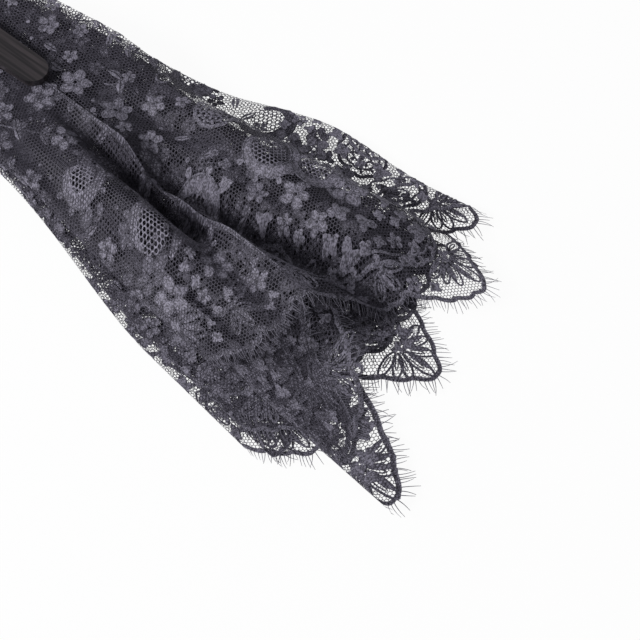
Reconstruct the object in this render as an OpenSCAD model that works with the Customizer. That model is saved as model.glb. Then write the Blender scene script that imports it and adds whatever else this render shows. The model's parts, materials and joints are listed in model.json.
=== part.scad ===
// Large folding hand fan, closed, lying on its bottom guard.
// The pivot axis is Z, the sticks point along +Y, and Z = 0 is the face that the fan lies on.
// Every stick turns on the hollow eyelet and carries one gore of the lace leaf.

/* [Leaf] */
// Angle between the guards when the fan is fully open, degrees
opening_angle = 156; // [120:1:168]
// Pivot to the inner edge of the leaf
leaf_inner_r = 125; // [105:1:150]
// Pivot to the points of the scalloped rim
leaf_outer_r = 420; // [340:1:510]
// Depth of one pointed scallop of the rim
scallop_depth = 26; // [8:1:40]
// Thickness of the lace where it lies folded between two sticks
lace_t = 0.3; // [0.2:0.05:0.6]
// Free height above each layer of folded lace
lace_gap = 0.2; // [0.15:0.05:0.4]

/* [Sticks] */
// Number of sticks between the two guards
inner_sticks = 11; // [7:2:15]
// Pivot to the tip of a stick or guard
stick_reach = 260; // [200:1:320]
// Radius of a stick's round head
head_r = 9; // [7:0.5:11]
// Width of a stick at the ends of its pierced part
waist_w = 8; // [6:0.5:9]
// Width of a stick at the middle of its pierced part
belly_w = 14; // [12:0.5:18]
// Width of the slip under the leaf, at its root
slip_root_w = 6; // [4:0.5:8]
// Width of the slip under the leaf, at its tip
slip_tip_w = 3.6; // [3:0.1:5]
// Thickness of the slip under the leaf
slip_t = 0.9; // [0.7:0.01:1.4]
// Running gap between two sticks at the pivot
stack_gap = 0.1; // [0.06:0.01:0.12]

/* [Guards] */
// Thickness of a guard
guard_t = 2.8; // [2.3:0.05:4]
// Width of a guard at the middle of its panel
guard_belly_w = 20; // [16:0.5:24]
// Width of a guard at the ends of its panel
guard_waist_w = 15; // [13:0.5:16]
// Width of a guard at its tip
guard_tip_w = 10; // [8:0.5:12]
// Radius of a guard's round head
guard_head_r = 10; // [8:0.5:12]
// Depth of the panel cut into a guard's outer face
panel_depth = 0.6; // [0.3:0.1:1]

/* [Rivet] */
// Bore of the hollow eyelet
eyelet_bore = 2.6; // [2:0.1:3]
// Wall of the eyelet's tube
eyelet_wall = 0.7; // [0.4:0.01:1]
// Diameter of the eyelet's two flanges
flange_d = 9; // [7:0.5:10]
// Thickness of a flange
flange_t = 0.6; // [0.4:0.1:0.8]
// Diameter of the washer under each flange
washer_d = 11; // [10:0.5:12]
// Thickness of a washer
washer_t = 0.5; // [0.3:0.1:0.7]
// Radial running clearance of a stick on the eyelet
pivot_clearance = 0.06; // [0.03:0.01:0.1]
// Radial clearance of a washer in its counterbore
washer_clearance = 0.3; // [0.2:0.05:0.5]

/* [Hidden] */
$fn = 96;
gores = inner_sticks + 1;
gore_angle = opening_angle / gores;
pitch = slip_t + lace_t + lace_gap;
gorge_t = pitch - stack_gap;
gorge_end = leaf_inner_r - 2;
first_z = guard_t + stack_gap;
top_guard_z = first_z + inner_sticks * pitch;
top_z = top_guard_z + guard_t;
eyelet_r = eyelet_bore / 2 + eyelet_wall;
pivot_hole_r = eyelet_r + pivot_clearance;
counterbore_r = washer_d / 2 + washer_clearance;
counterbore_depth = flange_t + washer_t;
top_running_gap = 0.05;
seat_recess = pitch - slip_t - stack_gap;
cut = 1;
window_wall = 2.6;
window_bar = 5;
outline_steps = 24;
rim_steps = 16;
black_wood = [0.05, 0.045, 0.05];
lace_black = [0.16, 0.15, 0.18];
gunmetal = [0.33, 0.32, 0.34];

function two_digits(i) = i < 10 ? str("0", i) : str(i);
function stick_name(i) = str("stick_", two_digits(i));
function lace_name(i) = str("lace_", two_digits(i));
function stick_z(i) = first_z + (i - 1) * pitch;

// Half the width of the pierced part at a distance y from the pivot: narrow at both ends, wide at the middle.
function swell(y, waist, belly, end) =
    waist / 2 + (belly - waist) / 2 * pow(sin(180 * y / end), 2);

function steps(count) = [for (k = [0 : count]) k / count];

// A bar along +Y that swells once between the pivot and its end.
module swelling_bar(waist, belly, end) {
    right = [for (s = steps(outline_steps)) [swell(s * end, waist, belly, end), s * end]];
    left = [for (s = steps(outline_steps)) [-swell((1 - s) * end, waist, belly, end), (1 - s) * end]];
    polygon(concat(right, left));
}

// A bar along +Y that tapers between two widths and has a round tip.
module tapered_bar(from_y, to_y, root_w, tip_w) {
    tip_y = to_y - tip_w / 2;
    polygon([[-root_w / 2, from_y], [root_w / 2, from_y], [tip_w / 2, tip_y], [-tip_w / 2, tip_y]]);
    translate([0, tip_y]) circle(d = tip_w);
}

// A pointed oval with its points on the Y axis.
module leaf_window(from_y, to_y, width) {
    half = (to_y - from_y) / 2;
    bow = (half * half + width * width / 4) / width;
    translate([0, (from_y + to_y) / 2])
        intersection() {
            translate([bow - width / 2, 0]) circle(r = bow, $fn = 192);
            translate([width / 2 - bow, 0]) circle(r = bow, $fn = 192);
        }
}

// Three pointed windows between the head and the leaf: short, long, short.
module pierced_windows(waist, belly, end, start) {
    short_span = (end - start) / 5;
    long_from = start + short_span + window_bar;
    long_to = end - short_span - window_bar;
    leaf_window(start, start + short_span, waist - window_wall);
    leaf_window(long_from, long_to, belly - 2 * window_wall);
    leaf_window(end - short_span, end - window_bar, waist - window_wall);
}

module pivot_hole() {
    translate([0, 0, -cut]) cylinder(r = pivot_hole_r, h = top_z + 2 * cut);
}

// One inner stick: round head, pierced gorge and the thin slip that carries the lace.
module stick(i) {
    color(black_wood)
        difference() {
            translate([0, 0, stick_z(i)])
                union() {
                    linear_extrude(gorge_t)
                        difference() {
                            union() {
                                circle(r = head_r);
                                swelling_bar(waist_w, belly_w, gorge_end);
                            }
                            pierced_windows(waist_w, belly_w, gorge_end, head_r + window_bar);
                        }
                    linear_extrude(slip_t)
                        tapered_bar(gorge_end - window_bar, stick_reach, slip_root_w, slip_tip_w);
                }
            pivot_hole();
        }
}

module guard_outline() {
    circle(r = guard_head_r);
    swelling_bar(guard_waist_w, guard_belly_w, gorge_end);
    tapered_bar(gorge_end - cut, stick_reach, guard_waist_w, guard_tip_w);
}

// The shallow panel on a guard's outer face, as a pointed oval along the gorge.
module guard_panel() {
    leaf_window(guard_head_r + window_bar, gorge_end - window_bar, guard_belly_w / 2);
}

// The bottom guard, with its outer face at Z = 0.
module guard_bottom() {
    color(black_wood)
        difference() {
            linear_extrude(guard_t) guard_outline();
            translate([-leaf_outer_r / 2, gorge_end, guard_t - seat_recess])
                cube([leaf_outer_r, stick_reach, guard_t]);
            translate([0, 0, -cut]) linear_extrude(panel_depth + cut) guard_panel();
            translate([0, 0, -cut]) cylinder(r = counterbore_r, h = counterbore_depth + cut);
            pivot_hole();
        }
}

// The top guard, with its outer face up.
module guard_top() {
    color(black_wood)
        difference() {
            translate([0, 0, top_guard_z]) linear_extrude(guard_t) guard_outline();
            translate([-leaf_outer_r / 2, gorge_end, top_guard_z - cut])
                cube([leaf_outer_r, stick_reach, lace_t + cut]);
            translate([0, 0, top_z - panel_depth]) linear_extrude(panel_depth + cut) guard_panel();
            translate([0, 0, top_z - counterbore_depth - top_running_gap])
                cylinder(r = counterbore_r, h = counterbore_depth + cut);
            pivot_hole();
        }
}

// The hollow rivet with a flange at each end: a cord could be tied through its bore.
module eyelet() {
    color(gunmetal)
        difference() {
            union() {
                cylinder(r = eyelet_r, h = top_z);
                cylinder(d = flange_d, h = flange_t);
                translate([0, 0, top_z - flange_t]) cylinder(d = flange_d, h = flange_t);
            }
            translate([0, 0, -cut]) cylinder(d = eyelet_bore, h = top_z + 2 * cut);
        }
}

module washer(z) {
    color(gunmetal)
        translate([0, 0, z])
            difference() {
                cylinder(d = washer_d, h = washer_t);
                translate([0, 0, -cut]) cylinder(r = pivot_hole_r, h = washer_t + 2 * cut);
            }
}

module washer_bottom() {
    washer(flange_t);
}

module washer_top() {
    washer(top_z - counterbore_depth);
}

// Rim of a gore at the share s of half a gore from its middle: a point there and a dip at the side.
function rim_r(s) = leaf_outer_r - scallop_depth * (1 - pow(cos(90 * s), 0.8));

function polar(r, angle) = [r * sin(angle), r * cos(angle)];

// One gore of the lace, between two shares of half a gore either side of its stick.
module gore_outline(from_s, to_s) {
    half = gore_angle / 2;
    shares = [for (k = steps(rim_steps)) from_s + (to_s - from_s) * k];
    rim = [for (s = shares) polar(rim_r(abs(s)), s * half)];
    inner = [for (k = [rim_steps : -2 : 0]) polar(leaf_inner_r, shares[k] * half)];
    polygon(concat(rim, inner));
}

// Gore i lies on stick i; the first gore lies on the bottom guard and the last hangs under the top guard.
module lace_gore(i) {
    on_guard = guard_t - seat_recess;
    z = i == 0 ? on_guard : i == gores ? top_guard_z : stick_z(i) + slip_t;
    from_s = i == gores ? 0 : -1;
    to_s = i == 0 ? 0 : 1;
    color(lace_black)
        translate([0, 0, z]) linear_extrude(lace_t) gore_outline(from_s, to_s);
}

guard_bottom();
guard_top();
eyelet();
washer_bottom();
washer_top();
for (i = [1 : inner_sticks])
    stick(i);
for (i = [0 : gores])
    lace_gore(i);
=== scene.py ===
"""A folding hand fan, closed, with a dark eyelash-lace leaf that goes on past its sticks.

The leaf is drawn flat, as the lace would lie cut out on a table, and then folded onto the sticks. Flat places are
metres from the pivot, with the angle in degrees counted from the bottom guard towards the top guard.
"""

import json
import logging
import math
from dataclasses import dataclass, field
from enum import Enum, IntEnum

import bpy
import numpy as np
from mathutils import Matrix, Vector

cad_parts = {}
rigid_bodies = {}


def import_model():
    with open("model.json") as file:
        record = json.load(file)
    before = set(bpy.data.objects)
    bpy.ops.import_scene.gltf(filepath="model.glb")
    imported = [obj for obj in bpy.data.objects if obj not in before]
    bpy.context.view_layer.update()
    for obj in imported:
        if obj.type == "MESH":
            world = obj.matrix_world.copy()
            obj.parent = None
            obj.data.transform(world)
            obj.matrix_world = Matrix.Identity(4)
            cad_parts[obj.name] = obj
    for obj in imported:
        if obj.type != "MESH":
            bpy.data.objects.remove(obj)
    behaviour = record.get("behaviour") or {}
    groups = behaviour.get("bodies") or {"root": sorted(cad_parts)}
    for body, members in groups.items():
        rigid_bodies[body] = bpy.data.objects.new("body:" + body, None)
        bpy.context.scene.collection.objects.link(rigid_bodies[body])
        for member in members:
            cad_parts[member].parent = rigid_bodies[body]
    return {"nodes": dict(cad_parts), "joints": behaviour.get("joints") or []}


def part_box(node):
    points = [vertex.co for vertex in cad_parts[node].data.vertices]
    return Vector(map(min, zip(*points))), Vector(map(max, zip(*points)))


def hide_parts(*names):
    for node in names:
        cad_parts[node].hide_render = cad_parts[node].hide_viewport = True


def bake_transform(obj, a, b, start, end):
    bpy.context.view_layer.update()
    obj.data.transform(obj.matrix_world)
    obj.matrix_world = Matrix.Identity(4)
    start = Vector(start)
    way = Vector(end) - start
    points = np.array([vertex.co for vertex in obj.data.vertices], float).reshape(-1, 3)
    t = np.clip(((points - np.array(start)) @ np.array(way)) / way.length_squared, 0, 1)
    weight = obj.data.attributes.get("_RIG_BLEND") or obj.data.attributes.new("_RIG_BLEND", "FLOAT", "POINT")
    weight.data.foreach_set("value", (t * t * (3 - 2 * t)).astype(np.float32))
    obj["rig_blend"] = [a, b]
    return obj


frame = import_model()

log = logging.getLogger("hand_fan")
MM = 0.001
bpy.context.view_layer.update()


class Thread(IntEnum):
    """The kinds of thread work in the lace, in the order of a lace sheet's material slots."""

    NET = 0
    CLOTH = 1
    CORD = 2
    LASH = 3


class Bloom(Enum):
    """The sizes of five-petal flower, as the radius in metres."""

    LARGE = 5.2 * MM
    MIDDLE = 3.9 * MM
    SMALL = 2.8 * MM


def ease(x: np.ndarray) -> np.ndarray:
    """A smooth rise from 0 to 1 as x goes from 0 to 1."""
    x = np.clip(x, 0.0, 1.0)
    return x * x * (3.0 - 2.0 * x)


def turn(points: np.ndarray, degrees: float) -> np.ndarray:
    """Flat points turned clockwise, so that +Y turns towards +X."""
    c, s = math.cos(math.radians(degrees)), math.sin(math.radians(degrees))
    x, y = points[:, 0], points[:, 1]
    return np.stack([x * c + y * s, y * c - x * s], axis=1)


def polar(angle: np.ndarray, radius: np.ndarray) -> np.ndarray:
    """Flat points at angles in degrees, clockwise from +Y, and radii in metres."""
    a = np.radians(angle)
    return np.stack([radius * np.sin(a), radius * np.cos(a)], axis=-1)


# ---------------------------------------------------------------- finishes


@dataclass(frozen=True)
class ThreadFinish:
    """Dull dyed thread: uneven dye, small stitches with painted shade in the pits between them (the same pits give the
    bump), and the soft sheen of fibre.
    """

    name: str
    dark: tuple[float, float, float]
    light: tuple[float, float, float]
    stitch: float = 0.5 * MM
    # How much painted shade darkens the base colour in the pits between stitches (0 paints none).
    painted_pit_shade: float = 0.75
    relief: float = 0.6
    roughness: float = 0.68
    sheen: float = 0.2

    def material(self) -> bpy.types.Material:
        """Builds the material.

        Returns:
            A material that reads the flat lace layout from the piece's UV map.
        """
        mat = bpy.data.materials.new(self.name)
        mat.use_nodes = True
        nodes, links = mat.node_tree.nodes, mat.node_tree.links
        shader = nodes["Principled BSDF"]
        shader.inputs["Sheen Weight"].default_value = self.sheen
        shader.inputs["Sheen Roughness"].default_value = 0.4
        shader.inputs["Sheen Tint"].default_value = (0.86, 0.83, 1.0, 1.0)
        shader.inputs["Specular IOR Level"].default_value = 0.3
        place = nodes.new("ShaderNodeUVMap")
        place.uv_map = "flat"
        metres = nodes.new("ShaderNodeMapping")
        metres.inputs["Scale"].default_value = (LeafMap.WIDTH, LeafMap.HEIGHT, 1.0)
        dye = nodes.new("ShaderNodeTexNoise")
        dye.inputs["Scale"].default_value = 0.7 / MM
        dye.inputs["Detail"].default_value = 3.0
        dye.inputs["Roughness"].default_value = 0.65
        ramp = nodes.new("ShaderNodeValToRGB")
        ramp.color_ramp.elements[0].position = 0.36
        ramp.color_ramp.elements[0].color = (*self.dark, 1.0)
        ramp.color_ramp.elements[1].position = 0.64
        ramp.color_ramp.elements[1].color = (*self.light, 1.0)
        stitches = nodes.new("ShaderNodeTexVoronoi")
        stitches.inputs["Scale"].default_value = 1.0 / self.stitch
        # Painted shade: darker towards the edges of each stitch cell, multiplied into the base colour; the same values
        # drive the bump.
        pit_depth_and_shade = nodes.new("ShaderNodeMapRange")
        pit_depth_and_shade.inputs["From Min"].default_value = 0.42
        pit_depth_and_shade.inputs["From Max"].default_value = 0.72
        pit_depth_and_shade.inputs["To Min"].default_value = 1.0
        pit_depth_and_shade.inputs["To Max"].default_value = 1.0 - self.painted_pit_shade
        shade = nodes.new("ShaderNodeMix")
        shade.data_type = "RGBA"
        shade.blend_type = "MULTIPLY"
        shade.inputs["Factor"].default_value = 1.0
        bump = nodes.new("ShaderNodeBump")
        bump.inputs["Strength"].default_value = self.relief
        bump.inputs["Distance"].default_value = 0.12 * MM
        rough = nodes.new("ShaderNodeMapRange")
        rough.inputs["To Min"].default_value = self.roughness - 0.12
        rough.inputs["To Max"].default_value = self.roughness + 0.12
        links.new(place.outputs["UV"], metres.inputs["Vector"])
        links.new(metres.outputs["Vector"], dye.inputs["Vector"])
        links.new(metres.outputs["Vector"], stitches.inputs["Vector"])
        links.new(dye.outputs["Fac"], ramp.inputs["Fac"])
        links.new(dye.outputs["Fac"], rough.inputs["Value"])
        links.new(stitches.outputs["Distance"], pit_depth_and_shade.inputs["Value"])
        links.new(ramp.outputs["Color"], shade.inputs["A"])
        links.new(pit_depth_and_shade.outputs["Result"], shade.inputs["B"])
        links.new(rough.outputs["Result"], shader.inputs["Roughness"])
        links.new(shade.outputs["Result"], shader.inputs["Base Color"])
        links.new(pit_depth_and_shade.outputs["Result"], bump.inputs["Height"])
        links.new(bump.outputs["Normal"], shader.inputs["Normal"])
        return mat


@dataclass(frozen=True)
class LacquerFinish:
    """Black-stained wood under a satin lacquer: fine grain along the stick that shows in the gloss."""

    name: str = "black_lacquer"
    stain: tuple[float, float, float] = (0.013, 0.011, 0.013)
    grain: tuple[float, float, float] = (0.042, 0.034, 0.038)

    def material(self) -> bpy.types.Material:
        """Builds the material.

        Returns:
            A material on Object coordinates, with the grain along +Y.
        """
        mat = bpy.data.materials.new(self.name)
        mat.use_nodes = True
        nodes, links = mat.node_tree.nodes, mat.node_tree.links
        shader = nodes["Principled BSDF"]
        shader.inputs["Coat Weight"].default_value = 0.35
        shader.inputs["Coat Roughness"].default_value = 0.22
        place = nodes.new("ShaderNodeTexCoord")
        stretch = nodes.new("ShaderNodeMapping")
        stretch.inputs["Scale"].default_value = (900.0, 28.0, 300.0)
        grain = nodes.new("ShaderNodeTexNoise")
        grain.inputs["Scale"].default_value = 1.0
        grain.inputs["Detail"].default_value = 6.0
        grain.inputs["Distortion"].default_value = 0.4
        ramp = nodes.new("ShaderNodeValToRGB")
        ramp.color_ramp.elements[0].position = 0.42
        ramp.color_ramp.elements[0].color = (*self.stain, 1.0)
        ramp.color_ramp.elements[1].position = 0.66
        ramp.color_ramp.elements[1].color = (*self.grain, 1.0)
        rough = nodes.new("ShaderNodeMapRange")
        rough.inputs["To Min"].default_value = 0.28
        rough.inputs["To Max"].default_value = 0.46
        bump = nodes.new("ShaderNodeBump")
        bump.inputs["Strength"].default_value = 0.25
        bump.inputs["Distance"].default_value = 0.05 * MM
        links.new(place.outputs["Object"], stretch.inputs["Vector"])
        links.new(stretch.outputs["Vector"], grain.inputs["Vector"])
        links.new(grain.outputs["Fac"], ramp.inputs["Fac"])
        links.new(grain.outputs["Fac"], rough.inputs["Value"])
        links.new(grain.outputs["Fac"], bump.inputs["Height"])
        links.new(ramp.outputs["Color"], shader.inputs["Base Color"])
        links.new(rough.outputs["Result"], shader.inputs["Roughness"])
        links.new(bump.outputs["Normal"], shader.inputs["Normal"])
        return mat


@dataclass(frozen=True)
class GunmetalFinish:
    """Dark plated metal, turned: fine rings about the pivot in the gloss and slight tarnish."""

    name: str = "gunmetal"
    bright: tuple[float, float, float] = (0.34, 0.32, 0.33)
    tarnish: tuple[float, float, float] = (0.16, 0.15, 0.16)

    def material(self) -> bpy.types.Material:
        """Builds the material.

        Returns:
            A metal on Object coordinates, with rings about the Z axis.
        """
        mat = bpy.data.materials.new(self.name)
        mat.use_nodes = True
        nodes, links = mat.node_tree.nodes, mat.node_tree.links
        shader = nodes["Principled BSDF"]
        shader.inputs["Metallic"].default_value = 1.0
        place = nodes.new("ShaderNodeTexCoord")
        rings = nodes.new("ShaderNodeTexWave")
        rings.wave_type = "RINGS"
        rings.rings_direction = "Z"
        rings.inputs["Scale"].default_value = 380.0
        rings.inputs["Distortion"].default_value = 0.6
        stain = nodes.new("ShaderNodeTexNoise")
        stain.inputs["Scale"].default_value = 420.0
        stain.inputs["Detail"].default_value = 4.0
        ramp = nodes.new("ShaderNodeValToRGB")
        ramp.color_ramp.elements[0].position = 0.35
        ramp.color_ramp.elements[0].color = (*self.tarnish, 1.0)
        ramp.color_ramp.elements[1].position = 0.6
        ramp.color_ramp.elements[1].color = (*self.bright, 1.0)
        rough = nodes.new("ShaderNodeMapRange")
        rough.inputs["To Min"].default_value = 0.24
        rough.inputs["To Max"].default_value = 0.42
        bump = nodes.new("ShaderNodeBump")
        bump.inputs["Strength"].default_value = 0.2
        bump.inputs["Distance"].default_value = 0.03 * MM
        links.new(place.outputs["Object"], rings.inputs["Vector"])
        links.new(place.outputs["Object"], stain.inputs["Vector"])
        links.new(stain.outputs["Fac"], ramp.inputs["Fac"])
        links.new(stain.outputs["Fac"], rough.inputs["Value"])
        links.new(rings.outputs["Fac"], bump.inputs["Height"])
        links.new(ramp.outputs["Color"], shader.inputs["Base Color"])
        links.new(rough.outputs["Result"], shader.inputs["Roughness"])
        links.new(bump.outputs["Normal"], shader.inputs["Normal"])
        return mat


# ---------------------------------------------------------------- the leaf, folded


@dataclass(frozen=True)
class FanSizes:
    """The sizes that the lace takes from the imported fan."""

    gores: int
    gore_angle: float
    inner_r: float
    stick_reach: float
    levels: tuple[float, ...]

    @classmethod
    def from_frame(cls) -> "FanSizes":
        """Reads the number of gores, their angle, the sticks' reach and the height at which each stick carries lace."""
        gores = len(frame["joints"])
        gore_angle = frame["joints"][0]["range_deg"][1]
        boxes = [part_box(f"lace_{i:02d}") for i in range(gores + 1)]
        levels = tuple((low[2] + high[2]) / 2 for low, high in boxes)
        inner_r = boxes[0][0][1] / math.cos(math.radians(gore_angle / 2))
        return cls(gores, gore_angle, inner_r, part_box("guard_bottom")[1][1], levels)

    @property
    def total_angle(self) -> float:
        """The angle of the whole flat leaf, in degrees."""
        return self.gores * self.gore_angle


@dataclass(frozen=True)
class FoldLine:
    """The course of a ridge or a valley along the closed fan, as pairs of a radius and an angle."""

    course: tuple[tuple[float, float], ...]
    fade: float = 0.02

    def angle(self, radius: np.ndarray) -> np.ndarray:
        """The angle at which the line runs at a radius."""
        return np.interp(radius, [r for r, _ in self.course], [a for _, a in self.course])

    def there(self, radius: np.ndarray) -> np.ndarray:
        """1 along the line, fading to 0 before its start and after its end."""
        start, end = self.course[0][0], self.course[-1][0]
        return ease((radius - start) / self.fade + 1.0) * (1.0 - ease((radius - end) / self.fade))


@dataclass(frozen=True)
class Crease:
    """A soft valley in the gathered lace, with a steep wall on its left and a gentle one on its right."""

    line: FoldLine
    steep: float
    gentle: float
    depth: float

    def sink(self, angle: np.ndarray, radius: np.ndarray) -> np.ndarray:
        """The share of the height that the crease takes away at places in the closed fan."""
        aside = angle - self.line.angle(radius)
        width = np.where(aside > 0, self.steep, self.gentle)
        return self.depth * self.line.there(radius) * np.exp(-(np.abs(aside / width) ** 2.4))


@dataclass(frozen=True)
class Crest:
    """A rounded ridge that stands over the rest of the gathered lace."""

    line: FoldLine
    width: float
    height: float

    def lift(self, angle: np.ndarray, radius: np.ndarray) -> np.ndarray:
        """The height that the ridge adds at places in the closed fan."""
        aside = (angle - self.line.angle(radius)) / self.width
        return self.height * self.line.there(radius) * np.exp(-(aside**2))


@dataclass(frozen=True)
class LeafMap:
    """Folds the flat leaf onto the closed fan.

    Each gore lies between two sticks. It runs out from its first stick, folds over, and comes back to its second stick,
    by turns on the right and on the left. Past the sticks the layers settle into shared soft ridges, and each one keeps
    its own share of the height, so that no two layers meet.
    """

    WIDTH = 0.12
    HEIGHT = 0.34

    sizes: FanSizes
    creases: tuple[Crease, ...] = (
        Crease(FoldLine(((0.258, 0.9), (0.297, 1.75), (0.326, 2.1))), 0.55, 0.75, 0.92),
        Crease(FoldLine(((0.314, 0.4), (0.345, 0.1), (0.362, -0.4), (0.380, -1.1), (0.450, -1.5))), 0.7, 1.0, 0.98),
        Crease(FoldLine(((0.262, 4.8), (0.330, 5.8))), 0.7, 0.7, 0.35),
        Crease(FoldLine(((0.272, -1.9), (0.300, -2.3))), 0.8, 0.9, 0.45),
        Crease(FoldLine(((0.345, 4.6), (0.400, 5.2))), 0.5, 0.9, 0.25),
    )
    crests: tuple[Crest, ...] = (
        Crest(FoldLine(((0.266, 2.6), (0.293, 3.5), (0.336, 4.0))), 0.75, 0.0050),
        Crest(FoldLine(((0.300, 0.3), (0.330, 1.3), (0.375, 1.5))), 0.75, 0.0050),
        Crest(FoldLine(((0.300, -2.7), (0.372, -3.5))), 1.40, 0.0038),
    )
    plateau: float = 0.0165
    shifts: tuple[float, ...] = (0.0, 1.85, 1.85, 3.0, -0.4, 1.6, 1.0, 1.6, -2.6, -2.6, 1.4, -0.8, 1.5)
    floor_gap: float = 0.4 * MM
    layer_gap: float = 0.3 * MM
    crowd: float = 2.6

    def fold(self, gore: int, angle: np.ndarray, radius: np.ndarray) -> tuple[np.ndarray, np.ndarray]:
        """Places flat points of one gore in the closed fan.

        Args:
            gore: the gore's number, counted from the bottom guard.
            angle: flat angles in degrees.
            radius: flat radii in metres.

        Returns:
            The points, and the share by which each follows the gore's second stick.
        """
        half = self.sizes.gore_angle / 2
        side = -1.0 if gore % 2 == 0 else 1.0
        t = angle / self.sizes.gore_angle - gore
        free = ease((radius - self.sizes.stick_reach - 2 * MM) / 0.05)
        bend = 0.018 + 0.03 * free
        out = np.sqrt(1.0 + bend**2) - np.sqrt((2.0 * t - 1.0) ** 2 + bend**2)
        shift = self.shifts[gore] + (self.shifts[gore + 1] - self.shifts[gore]) * ease(t)
        drift = shift * ease((radius - self.sizes.stick_reach - 2 * MM) / 0.085)
        drift = drift * np.where(drift < 0, 1.0 - 0.32 * ease((radius - 0.335) / 0.045), 1.0)
        psi = side * half * out + drift
        step = ease((t - 0.5) / (2.4 * bend) + 0.5)
        height = self.height(gore, step, psi, radius, free)
        flat = polar(psi, radius)
        follow = t + side * out / 2
        return np.stack([flat[:, 0], flat[:, 1], height], axis=1), follow

    def height(self, gore: int, step: np.ndarray, psi: np.ndarray, radius: np.ndarray, free: np.ndarray) -> np.ndarray:
        """The height of a layer over the table.

        Args:
            gore: the gore's number.
            step: 0 on the gore's lower layer and 1 on its upper layer.
            psi: angles in the closed fan, in degrees.
            radius: radii in metres.
            free: 0 along the sticks and 1 past them.

        Returns:
            Heights in metres.
        """
        low, high = self.sizes.levels[gore], self.sizes.levels[gore + 1]
        side_wave = 0.45 * MM * ease(np.abs(psi) / 2.5 - 0.6)
        pressed = low + (high - low) * step + side_wave * self.ripple(gore, step, psi, radius)
        layer = gore + step
        early = 0.048 * (1.0 - ease((layer - 11.1) / 0.8)) * ease((psi - 1.4) / 1.6)
        swell = self.swell(psi, radius, early)
        share = (layer / self.sizes.gores) ** self.crowd
        spare = 0.35 * self.crowd * (layer + 0.6) ** (self.crowd - 1) / self.sizes.gores**self.crowd
        loose = self.floor_gap + self.layer_gap * layer + swell * (
            share + spare * self.ripple(gore, step, psi, radius)
        )
        loose = loose + 0.09 * MM * self.ripple(gore, step, psi * 1.7, radius)
        return pressed + (loose - pressed) * free

    def swell(self, psi: np.ndarray, radius: np.ndarray, early: np.ndarray) -> np.ndarray:
        """The height that the gathered lace stands up to at places in the closed fan, past the sticks.

        Args:
            psi: angles in the closed fan, in degrees.
            radius: radii in metres.
            early: how much nearer the pivot a layer sinks to the table, in metres.

        Returns:
            Heights in metres.
        """
        sides = ease((7.6 - psi) / 3.4) * ease((psi + 6.6) / 1.9)
        low_r = np.where(psi > 0.4, 0.383, 0.372) - early
        height = self.plateau * (1.0 + 0.08 * np.sin(radius * 95.0 + psi * 0.9) + 0.05 * np.sin(psi * 2.7 - radius * 60.0))
        height = height + sum(crest.lift(psi, radius) for crest in self.crests)
        for crease in self.creases:
            height = height * (1.0 - crease.sink(psi, radius))
        return height * sides * (1.0 - 0.9 * ease((radius - low_r) / 0.04))

    def ripple(self, gore: int, step: np.ndarray, psi: np.ndarray, radius: np.ndarray) -> np.ndarray:
        """A wave from -1 to 1 that differs from layer to layer and joins up over the fold between two layers."""
        waves = []
        for layer in (gore, gore + 1):
            start = 2.4 * layer
            wave = 0.6 * np.sin(1.1 * psi + 55.0 * radius + start) + 0.4 * np.sin(-2.3 * psi + 90.0 * radius + 1.7 * start)
            waves.append(wave)
        return waves[0] + (waves[1] - waves[0]) * step

    def place(
        self, gore: int, flat: np.ndarray, lift: np.ndarray
    ) -> tuple[np.ndarray, np.ndarray]:
        """Places flat points with a lift off the sheet's face.

        Args:
            gore: the gore's number.
            flat: flat points in metres.
            lift: distances off the face, in metres.

        Returns:
            The points in the fan's frame, and the share by which each follows the second stick.
        """
        angle = np.degrees(np.arctan2(flat[:, 0], flat[:, 1]))
        angle = np.where(angle < -20.0, angle + 360.0, angle)
        radius = np.hypot(flat[:, 0], flat[:, 1])
        base, follow = self.fold(gore, angle, radius)
        tiny_angle, tiny_r = 0.02, 0.1 * MM
        across = self.fold(gore, angle + tiny_angle, radius)[0] - self.fold(gore, angle - tiny_angle, radius)[0]
        along = self.fold(gore, angle, radius + tiny_r)[0] - self.fold(gore, angle, radius - tiny_r)[0]
        normal = np.cross(across, along)
        normal /= np.maximum(np.linalg.norm(normal, axis=1, keepdims=True), 1e-12)
        points = base + normal * lift[:, None]
        points[:, 2] = np.maximum(points[:, 2], 0.12 * MM)
        return points, follow


# ---------------------------------------------------------------- the leaf, flat


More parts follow.
